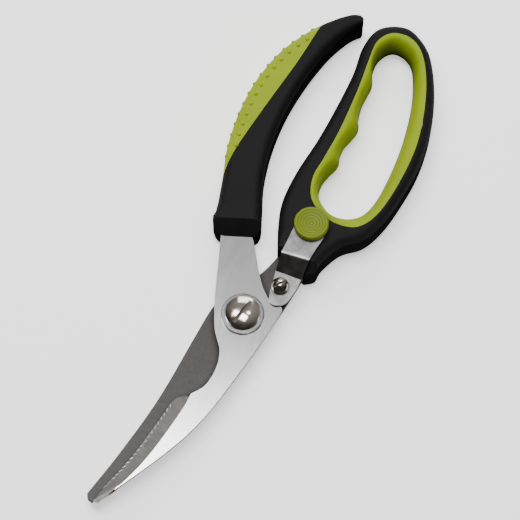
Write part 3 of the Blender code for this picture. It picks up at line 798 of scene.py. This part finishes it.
def straight_outline():
    """Outline of the open handle, its rounding, and its outer side.

    The outer side lies deeper than its guides by the bumps' rise, so the bumps' tops meet them.
    """
    right = [(-13.3, 34.0), (-13.7, 37.2), (-17.5, 44.3), (-24.0, 56.4), (-29.3, 71.5),
             (-32.6, 88.6), (-33.4, 106.1), (-32.2, 122.5), (-29.4, 134.7), (-26.9, 140.6)]
    tip = [(-26.9, 140.6), (-25.9, 142.7), (-26.6, 144.7), (-28.9, 145.4), (-32.2, 143.7),
           (-36.2, 139.6)]
    outer = [(-36.2, 139.6), (-41.1, 133.3), (-45.5, 126.0), (-50.4, 112.2), (-52.2, 95.4),
             (-50.6, 78.5), (-46.2, 61.5), (-40.3, 48.5), (-36.0, 39.2), (-33.3, 32.4)]
    low_y, high_y = outer[-2][1], outer[0][1]
    steepness = 2.5
    held = []
    for x, y in outer:
        share = max(0.0, math.sin(math.pi * (y - low_y) / (high_y - low_y)))
        held.append((x + BUMP_RISE * min(1.0, steepness * share), y))
    collar = [(-33.3, 32.4), (-33.3, 30.2), (-32.2, 28.2), (-30.2, 26.5), (-27.9, 25.6),
              (-25.6, 26.1)]
    collar_end = [(-15.4, 31.1), (-14.0, 32.1), (-13.3, 34.0)]
    outer_line = smooth(held, 12)
    outline = chain(smooth(right, 12), smooth(tip, 8), outer_line, smooth(collar, 8),
                    smooth(collar_end, 5))
    corners = [(point, COLLAR_ROUNDING) for point in collar + collar_end]
    tip_corner, tip_top = tip[2], tip[3]
    corners.append((tip_corner, TIP_CORNER_ROUNDING))
    rounding = corner_rounding(outline, corners)
    rounding = [min(r, TIP_ROUNDING + TIP_ROUNDING_GROWTH * (tip_top[1] - p.y))
                for r, p in zip(rounding, outline)]
    return outline, unfolded(outline, rounding), outer_line


def pad_region(line_x):
    """Everything on the outer side of the pad's boundary line."""
    line = smooth([(line_x + 1.6, 44.0), (line_x - 0.6, 60.0), (line_x - 0.4, 85.0),
                   (line_x + 0.4, 112.0), (line_x - 0.2, 136.0)], 10)
    outside = [(-60.0, 140.0), (-60.0, 40.0)]
    return prism(chain(line, outside), HANDLE_BACK - PAST, HANDLE_FRONT + PAST)


def handle_core(depth):
    """The open handle's own shape shrunk by the pad's thickness, or less at the tight corners."""
    outline, rounding, _ = straight_outline()
    plan = inset(outline, [min(depth, CORE_SHARE * r) for r in rounding])
    rest = unfolded(plan, [max(CORE_ROUNDING, r - depth) for r in rounding])
    return rounded_plate(plan, HANDLE_BACK + depth, HANDLE_FRONT - depth, rest)


def slope_wedge(slope):
    """A wedge that slopes a handle's front face down from a crease line."""
    crease, outward, drop = slope
    inward_reach, outward_reach, half_width = 2, 14, 20
    out = Vector(outward).normalized()
    side = Vector((-out.y, out.x))
    near = Vector(crease) - out * inward_reach
    far = Vector(crease) + out * outward_reach
    above = HANDLE_FRONT + 4
    corners = [(near, HANDLE_FRONT + inward_reach * drop),
               (far, HANDLE_FRONT - outward_reach * drop), (far, above), (near, above)]
    return rings_solid([[Vector((*(p + side * s), z)) for p, z in corners]
                        for s in (-half_width, half_width)])


def front_tang_pocket():
    """The space that the front blade's tang takes up in the open handle."""
    outline = chain(reversed(smooth(FRONT_TANG_RIGHT, 3)), reversed(FRONT_TANG_END),
                    reversed(smooth(FRONT_TANG, 3)), [(-24.0, 20.0), (-8.0, 24.0)])
    wide = inset(outline, [-GAP] * len(outline))
    return prism(wide, FRONT_BLADE_Z[0] - GAP, FRONT_BLADE_Z[1] + GAP)


def straight_handle():
    """The open handle: hard moulding, soft pad let into its outer side, and the pad's bumps."""
    outline, rounding, outer_line = straight_outline()
    body = place("straight_handle_moulding",
                 rounded_plate(outline, HANDLE_BACK, HANDLE_FRONT, rounding),
                 "front_half", PLASTIC)
    pocket = place("pocket", pad_region(PAD_LINE_X + GAP))
    carve(pocket, handle_core(PAD_THICKNESS + GAP))
    cut_with(body, pocket)
    carve(body, slope_wedge(STRAIGHT_SLOPE))
    carve(body, front_tang_pocket())
    soften(body, 0.35, 3, 25.0)
    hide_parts("straight_handle_body")

    pad = place("straight_handle_soft_pad",
                rounded_plate(outline, HANDLE_BACK, HANDLE_FRONT, rounding),
                "front_half", PAD_GREEN)
    carve(pad, pad_region(PAD_LINE_X), "INTERSECT")
    carve(pad, handle_core(PAD_THICKNESS))
    soften(pad, 0.15, 2, 40.0)
    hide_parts("straight_handle_pad")
    pad_bumps(outer_line)


def bump_spots(outer_line):
    """(place, outward direction) of each grip bump, row by row along the pad's outer side.

    A row is given by how far it lies inside the outline and which way its bumps face, in
    degrees: 90 is straight up from the front face, and 0 straight out of the side.
    """
    count = 400
    along = resample(outer_line, count)
    total = length_of(outer_line)
    spots = []
    for inwards, degrees in BUMP_ROWS:
        turn = math.radians(degrees)
        if degrees > 0:
            z = HANDLE_FRONT - ROUNDING * (1 - math.sin(turn))
        else:
            z = HANDLE_BACK + ROUNDING * (1 + math.sin(turn))
        for step in range(int((total - BUMP_START) / BUMP_PITCH)):
            index = round((count - 1) * (BUMP_START + BUMP_PITCH * step) / total)
            ahead = (along[index + 1] - along[index - 1]).normalized()
            inward = Vector((-ahead.y, ahead.x))
            spot = along[index] + inward * inwards
            if spot.x > PAD_LINE_X - BUMP_CLEARANCE or spot.y < BUMP_LOWEST_Y:
                continue
            outward = Vector((*(-inward * math.cos(turn)), math.sin(turn)))
            spots.append((Vector((spot.x, spot.y, z)), outward))
    return spots


def pad_bumps(outer_line):
    """Low round grip bumps, as one piece that sits on the pad."""
    # (radius as a share of BUMP_RADIUS, height), from just under the pad's surface up.
    profile = ((1.12, -0.12), (1.02, 0.10), (0.84, 0.34), (0.55, 0.53), (0.22, 0.61))
    sides = 16
    solid = bmesh.new()
    for spot, outward in bump_spots(outer_line):
        turn = outward.to_track_quat("Z", "Y").to_matrix().to_4x4()
        matrix = Matrix.Translation(spot) @ turn
        loops = []
        for r, z in profile:
            ring = circle(PIVOT_AXIS, r * BUMP_RADIUS, sides)
            loops.append([solid.verts.new(matrix @ Vector((p.x, p.y, z))) for p in ring])
        for near, far in zip(loops, loops[1:]):
            for i in range(sides):
                j = (i + 1) % sides
                solid.faces.new((near[i], near[j], far[j], far[i]))
        solid.faces.new(loops[-1])
        solid.faces.new(loops[0][::-1])
    place("pad_grip_bumps", solid, "front_half", PAD_GREEN, 50.0)


LOOP_GUIDES = [(13.2, 27.9), HEEL_CORNER, (17.0, 36.1), (20.2, 46.2), (26.7, 54.0),
               (29.9, 64.1), (30.86, 77.9), (30.0, 95.7), (25.4, 114.0), (17.3, 131.0),
               (7.6, 144.2), (-0.8, 149.7), (-8.2, 151.15), (-15.6, 147.6), (-19.6, 141.9),
               (-20.0, 132.1), (-17.0, 119.1), (-15.0, 101.0), (-13.9, 83.8), (-13.8, 66.0),
               (-11.8, 51.1), (-6.9, 39.7), (-3.1, 33.6), (-2.0, 31.2)]
LINER_GUIDES = [(-3.6, 146.6), (-11.8, 144.6), (-15.6, 137.5), (-14.0, 127.0), (-11.3, 114.5),
                (-9.2, 102.0), (-7.6, 90.0), (-6.8, 77.5), (-6.2, 67.0), (-2.0, 58.5),
                (6.0, 53.9), (14.5, 53.6), (22.0, 57.0), (26.2, 66.0), (26.9, 82.0),
                (24.8, 101.0), (19.6, 117.5), (12.5, 132.0), (4.5, 142.4)]
HOLE_GUIDES = [(-5.0, 141.4), (-10.1, 140.3), (-12.3, 133.6), (-10.8, 126.0), (-8.0, 121.0),
               (-7.5, 116.5), (-6.9, 110.5), (-4.6, 103.5), (-2.3, 99.5), (-2.6, 95.0),
               (-3.5, 90.0), (-2.6, 84.5), (-1.1, 80.6), (-2.1, 76.5), (-2.8, 70.3),
               (-0.9, 63.6), (3.7, 59.5), (9.5, 57.8), (15.6, 59.9), (20.0, 65.0),
               (21.4, 74.0), (20.2, 88.0), (17.4, 103.0), (12.3, 119.5), (6.2, 132.0),
               (0.9, 138.9)]


def loop_handle():
    """Hard moulding of the loop: finger hole, tang pocket and the hollow for the lock strip."""
    outline = smooth(LOOP_GUIDES, 12)
    corners = ((outline[0], CORNER_ROUNDING), (HEEL_CORNER, HEEL_ROUNDING),
               (outline[-1], CORNER_ROUNDING))
    rounding = unfolded(outline, corner_rounding(outline, corners))
    body = place("loop_handle_moulding",
                 rounded_plate(outline, HANDLE_BACK, HANDLE_FRONT, rounding),
                 "rear_half", PLASTIC)
    liner = smooth(LINER_GUIDES, 12, closed=True)
    carve(body, prism(liner, HANDLE_BACK - PAST, HANDLE_FRONT + PAST))
    low = STRIP_Z[0] + GAP
    slope = (HANDLE_FRONT - low) / (RELIEF_FAR - RELIEF_NEAR)
    profile = [(RELIEF_NEAR - PAST, low - PAST * slope),
               (RELIEF_NEAR + RELIEF_BEYOND, low + RELIEF_BEYOND * slope)]
    carve(body, lathe(LOCK_AXIS, profile, 96))
    carve(body, slope_wedge(HEEL_SLOPE))
    pocket = [(-2.4, 22.0), (-1.5, 31.0), (-0.5, 43.8), (1.0, 46.0), (10.5, 46.0), (12.2, 44.0),
              (12.8, 22.0)]
    pocket = inset([Vector(p) for p in reversed(pocket)], [-GAP] * len(pocket))
    carve(body, prism(pocket, REAR_BLADE_Z[0] - GAP, REAR_BLADE_Z[1] + GAP))
    soften(body, 0.35, 3, 25.0)
    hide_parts("loop_handle_body")


def loop_liner():
    """The soft ring round the finger hole, bulging inwards, with its three finger ridges."""
    count = 288
    seat = smooth(LINER_GUIDES, 24, closed=True)
    seat = resample(inset(seat, [GAP * 0.5] * len(seat)) + [seat[0]], count + 1)[:-1]
    hole = smooth(HOLE_GUIDES, 24, closed=True)
    hole = resample(hole + [hole[0]], count + 1)[:-1]
    centre_z = (HANDLE_FRONT + HANDLE_BACK) / 2
    half = (HANDLE_FRONT - HANDLE_BACK) / 2
    steps, least_bulge, fullness = 20, 0.05, 0.8
    loops = []
    for k in range(steps + 1):
        turn = math.pi * k / steps
        share = least_bulge + (1 - least_bulge) * math.sin(turn) ** fullness
        z = centre_z + half * math.cos(turn)
        loops.append([a.lerp(b, share).to_3d() + Vector((0, 0, z)) for a, b in zip(seat, hole)])
    for z in (HANDLE_BACK, HANDLE_FRONT):
        loops.append([Vector((a.x, a.y, z)) for a in seat])
    liner = place("loop_soft_liner", band(loops), "rear_half", LINER_GREEN, 60.0)
    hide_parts("loop_grip_liner")


# ---- fasteners

def slotted_screw(name, node, axis, washer, rim_height, shank, slot, degrees):
    """Domed head over its washer, a shank below it and a straight slot across its crown.

    slot is its half length, half width and depth, and degrees its direction from +X.
    """
    size = radius(node)
    head_low = heights(washer)[1] + GAP
    rim = head_low + rim_height
    low, top = heights(node)
    profile = [(shank, low), (shank, head_low), (size - 0.25, head_low), (size, head_low + 0.2),
               (size, rim)]
    profile += dome(size, rim, top, 18)[1:]
    screw = place(name, lathe(axis, profile, 96), "rear_half", POLISHED)

    half_length, half_width, depth = slot
    turn = math.radians(degrees)
    along = Vector((math.cos(turn), math.sin(turn))) * half_length
    across = Vector((-along.y, along.x)).normalized() * half_width
    corners = [axis + along * s + across * t for s, t in ((-1, -1), (1, -1), (1, 1), (-1, 1))]
    # The slot's faces get the dark slot steel: painted shade.
    carve(screw, prism(corners, top - depth, top + PAST), crease=30.0, look=SLOT_STEEL)
    soften(screw, 0.10, 2, 50.0)
    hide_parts(node)


def knurled_washer():
    """Ring under the large screw with fine radial teeth round its rim, whose grooves are painted
    darker as shade.
    """
    low, high = heights("pivot_washer")
    size = radius("pivot_washer")
    teeth, points_per_tooth, points_per_groove = 72, 5, 2
    count = teeth * points_per_tooth
    # (radius, height, how deep the grooves cut there), round the ring's section.
    section = ((PIVOT_HOLE_RADIUS, low, 0), (size - 0.1, low, 0), (size, low + 0.15, 0),
               (size, high - 0.4, 0), (size - 0.25, high - 0.12, 0.22),
               (size - 0.45, high, 0.30), (size - 1.45, high, 0.30), (size - 1.5, high - 0.05, 0),
               (size - 1.6, high - 0.25, 0), (PIVOT_HOLE_RADIUS, high - 0.25, 0))
    loops = []
    for r, z, depth in section:
        ring = []
        for i in range(count):
            turn = 2 * math.pi * i / count
            drop = depth if i % points_per_tooth < points_per_groove else 0.0
            ring.append(Vector((r * math.cos(turn), r * math.sin(turn), z - drop)))
        loops.append(ring)
    made = place("pivot_washer_knurled", band(loops), "front_half", FRONT_STEEL,
                 30.0)
    made.data.materials.append(STRIP_STEEL)
    # The grooves' faces get the darker strip steel: painted shade.
    groove = 1
    groove_low, groove_high = (low + 0.2) * MM, (high - 0.15) * MM
    for face in made.data.polygons:
        x, y, z = face.center
        in_teeth = size - 1.5 < math.hypot(x, y) / MM < size - 0.2
        if in_teeth and groove_low < z < groove_high:
            face.material_index = groove
    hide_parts("pivot_washer")


def pivot_nut():
    """Closed round nut with two spanner pits."""
    low, high = heights("pivot_nut")
    size = radius("pivot_nut")
    profile = [(size - 0.6, low), (size - 0.25, low + 0.12), (size, low + 0.5), (size, high - 0.2),
               (size - 0.2, high)]
    nut = place("pivot_nut_closed", lathe(PIVOT_AXIS, profile, 72), "rear_half", POLISHED,
                30.0)
    floor_thickness, pit_radius, pit_depth, pit_place = 1.2, 0.9, 0.8, 3.6
    carve(nut, prism(circle(*PIVOT_HOLE), low + floor_thickness, high + PAST))
    for x in (-pit_place, pit_place):
        carve(nut, prism(circle((x, 0), pit_radius, 24), low - PAST, low + pit_depth))
    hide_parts("pivot_nut")


def lock_washer():
    """Thin bright washer under the small screw's head."""
    low, high = heights("lock_washer")
    size = radius("lock_washer")
    rim = size - 0.15
    radii = (LOCK_HOLE_RADIUS, rim, size, size, rim, LOCK_HOLE_RADIUS)
    levels = (low, low, low + 0.12, high - 0.12, high, high)
    loops = [circle(LOCK_AXIS, r, 72) for r in radii]
    rings = [[Vector((p.x, p.y, z)) for p in loop] for loop, z in zip(loops, levels)]
    made = place("lock_washer_bright", band(rings), "rear_half", POLISHED, 30.0)
    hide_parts("lock_washer")


# ---- lock

STRIP_CREASE = 40.0
BUTTON_CREASE = 60.0

# Left and right ends of the strip's two folds.
FOLD_LOW = ((1.9, 23.5), (13.1, 25.4))
FOLD_HIGH = ((0.7, 30.5), (12.5, 33.6))


def fold_share(point):
    """How far a place lies from the lower fold (0) to the upper fold (1)."""
    spans = []
    for fold in (FOLD_LOW, FOLD_HIGH):
        a, b = Vector(fold[0]), Vector(fold[1])
        across = (b - a).normalized()
        spans.append((point - a).dot(Vector((-across.y, across.x))))
    below, above = spans
    return below / (below - above)


def strip_level(point):
    """Height of the strip's underside at a place: two flats joined by a softly folded riser."""
    low = STRIP_Z[0]
    high = STRIP_Z[1] - STRIP_THICKNESS
    share = min(1.0, max(0.0, fold_share(point)))
    soft = FOLD_SOFTNESS
    if share < soft:
        eased = share * share / (2 * soft * (1 - soft))
    elif share > 1 - soft:
        eased = 1 - (1 - share) ** 2 / (2 * soft * (1 - soft))
    else:
        eased = (share - soft / 2) / (1 - soft)
    return low + (high - low) * eased


def strip_side(below, fold_low, fold_high, above):
    """One long side of the strip, with close points on the riser between its folds."""
    steps = 6
    riser = resample([Vector(fold_low), Vector(fold_high)], 30)
    return (smooth(below + [fold_low], steps) + riser[1:]
            + smooth([fold_high] + above, steps)[1:])


def lock_lever():
    """The bent strip, as a sheet of cross rows that is given its thickness square to itself."""
    left = strip_side([(8.0, 9.9), (6.6, 10.3), (5.8, 11.8), (5.0, 13.6), (4.1, 16.0),
                       (3.0, 20.0)], FOLD_LOW[0], FOLD_HIGH[0],
                      [(0.0, 37.0), (-0.8, 43.4), (-0.8, 47.4), (1.0, 51.0), (4.6, 52.9)])
    right = strip_side([(8.4, 9.85), (9.6, 9.95), (11.5, 11.2), (13.0, 13.4), (13.4, 16.6),
                        (13.5, 21.2)], FOLD_LOW[1], FOLD_HIGH[1],
                       [(12.4, 39.0), (12.6, 44.4), (11.8, 48.4), (9.9, 51.4), (6.4, 52.95)])
    spans = 6
    rows = [[a.lerp(b, k / spans) for k in range(spans + 1)] for a, b in zip(left, right)]
    under = [[Vector((p.x, p.y, strip_level(p))) for p in row] for row in rows]
    across = (Vector(FOLD_LOW[1]) - Vector(FOLD_LOW[0])).normalized()
    uphill = Vector((-across.y, across.x))
    step = 0.05
    over = []
    for row in rows:
        lifted = []
        for p in row:
            slope = (strip_level(p + uphill * step) - strip_level(p - uphill * step)) / (2 * step)
            normal = Vector((-uphill.x * slope, -uphill.y * slope, 1)).normalized()
            lifted.append(Vector((p.x, p.y, strip_level(p))) + normal * STRIP_THICKNESS)
        over.append(lifted)
    rings = [lower + upper[::-1] for lower, upper in zip(under, over)]
    strip = place("lock_strip_bent", rings_solid(rings), "lock", STRIP_STEEL)
    low, over = STRIP_Z[0], STRIP_THICKNESS + 1.3
    carve(strip, prism(circle(*LOCK_HOLE), low - PAST, low + over), crease=STRIP_CREASE)
    soften(strip, 0.16, 2, 60.0)
    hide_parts("lock_lever")


def lock_button():
    """Dished button with faint concentric rings."""
    low, high = heights("lock_button")
    size = radius("lock_button")
    dish_rim, dish_depth, rim_drop = size - 1.2, 0.75, 0.05
    steps = 45
    profile = [(size - 0.5, low), (size - 0.15, low + 0.15), (size, low + 0.5),
               (size, high - 0.75), (size - 0.2, high - 0.28), (size - 0.55, high - 0.06),
               (size - 0.9, high), (dish_rim, high - rim_drop)]
    for k in range(1, steps):
        r = dish_rim * (1 - k / steps)
        dish = rim_drop + dish_depth * (1 - (r / dish_rim) ** 2)
        wave = max(0.0, math.cos(2 * math.pi * r / RING_PITCH)) ** 4
        groove = RING_DEPTH * wave if r < RING_LIMIT else 0.0
        profile.append((r, high - dish - groove))
    button = place("lock_button_dished", lathe(BUTTON_CENTRE, profile, 96), "lock", BUTTON_GREEN)
    depth = 1.4
    carve(button, prism(circle(*RIVET_HOLE), low - PAST, low + depth), crease=BUTTON_CREASE)
    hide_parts("lock_button")


# ---- set

FLOOR_GLOW = 0.8
FLOOR_DROP = 0.0004


def floor():
    """Plain pale floor that glows a little, as a lit paper sweep does."""
    mesh = bpy.data.meshes.new("floor")
    half = 3.0
    corners = [(-half, -half, 0), (half, -half, 0), (half, half, 0), (-half, half, 0)]
    mesh.from_pydata(corners, [], [(0, 1, 2, 3)])
    plane = bpy.data.objects.new("floor", mesh)
    plane.location.z = -FLOOR_DROP
    bpy.context.scene.collection.objects.link(plane)
    pale = Nodes("pale_floor", (0.93, 0.93, 0.93), 0.9)
    pale.give(pale.inputs, {"Emission Color": (1, 1, 1, 1), "Emission Strength": FLOOR_GLOW})
    mesh.materials.append(pale.material)


def area_light(name, place_at, size, power, aim):
    """A soft rectangular lamp aimed at a point."""
    data = bpy.data.lights.new(name, "AREA")
    data.shape = "RECTANGLE"
    data.size, data.size_y = size
    data.energy = power
    lamp = bpy.data.objects.new(name, data)
    lamp.location = place_at
    lamp.rotation_euler = (Vector(aim) - Vector(place_at)).to_track_quat("-Z", "Y").to_euler()
    bpy.context.scene.collection.objects.link(lamp)


def camera():
    """Looks down at the shears from the tip side, 68 degrees above the floor."""
    azimuth, tilt = math.radians(31.5), math.radians(22.0)
    distance = 0.9
    target = Vector((-0.0072, 0.0257, 0.0075))
    x, y = math.sin(azimuth), -math.cos(azimuth)
    level, rise = math.sin(tilt), math.cos(tilt)
    back = Vector((x * level, y * level, rise))
    up = Vector((-x * rise, -y * rise, level))
    data = bpy.data.cameras.new("camera")
    data.lens = 147.0
    data.sensor_width = 36.0
    data.clip_start = 0.05
    eye = bpy.data.objects.new("camera", data)
    side = up.cross(back)
    turn = Matrix((side, up, back)).transposed().to_4x4()
    eye.matrix_world = Matrix.Translation(target + back * distance) @ turn
    bpy.context.scene.collection.objects.link(eye)
    bpy.context.scene.camera = eye


ROOM_LOW = (0.07, 0.064, 0.058)
ROOM_HIGH = (0.62, 0.61, 0.60)
BRIGHT_SIDE = (-0.15, 0.60, 0.79)


def world():
    """Dim room that is brighter towards one side."""
    sky = bpy.data.worlds.new("studio")
    sky.use_nodes = True
    tree = sky.node_tree
    direction = tree.nodes.new("ShaderNodeTexCoord").outputs["Generated"]
    towards = tree.nodes.new("ShaderNodeVectorMath")
    towards.operation = "DOT_PRODUCT"
    towards.inputs[1].default_value = BRIGHT_SIDE
    tree.links.new(direction, towards.inputs[0])
    colour = colour_ramp(tree, towards.outputs["Value"], ((0.55, ROOM_LOW), (1.0, ROOM_HIGH)))
    tree.links.new(colour, tree.nodes["Background"].inputs["Color"])
    bpy.context.scene.world = sky


def main():
    camera()
    world()
    area_light("overhead", (-0.25, 0.07, 1.2), (0.9, 0.34), 18, (-0.25, 0.07, 0))
    area_light("back", (-0.5, 1.1, 0.8), (0.8, 0.5), 9, (0, 0.03, 0))
    area_light("highlight", (0.12, 0.47, 1.2), (0.16, 0.16), 1.2, (0, 0, 0))
    floor()
    front_blade()
    rear_blade()
    straight_handle()
    loop_handle()
    loop_liner()
    slotted_screw("pivot_screw_domed", "pivot_screw", PIVOT_AXIS, "pivot_washer", 1.0, 4.0,
                  (5.9, 0.8, 1.2), 83.5)
    slotted_screw("lock_screw_domed", "lock_screw", LOCK_AXIS, "lock_washer", 0.8, 0.9,
                  (4.5, 0.42, 1.0), 60.0)
    knurled_washer()
    pivot_nut()
    lock_washer()
    lock_lever()
    lock_button()
    for node in ("pivot_spring_washer", "lock_spacer", "lock_lug", "lock_button_rivet"):
        looks = frame["nodes"][node].data.materials
        looks.clear()
        looks.append(POLISHED)


main()
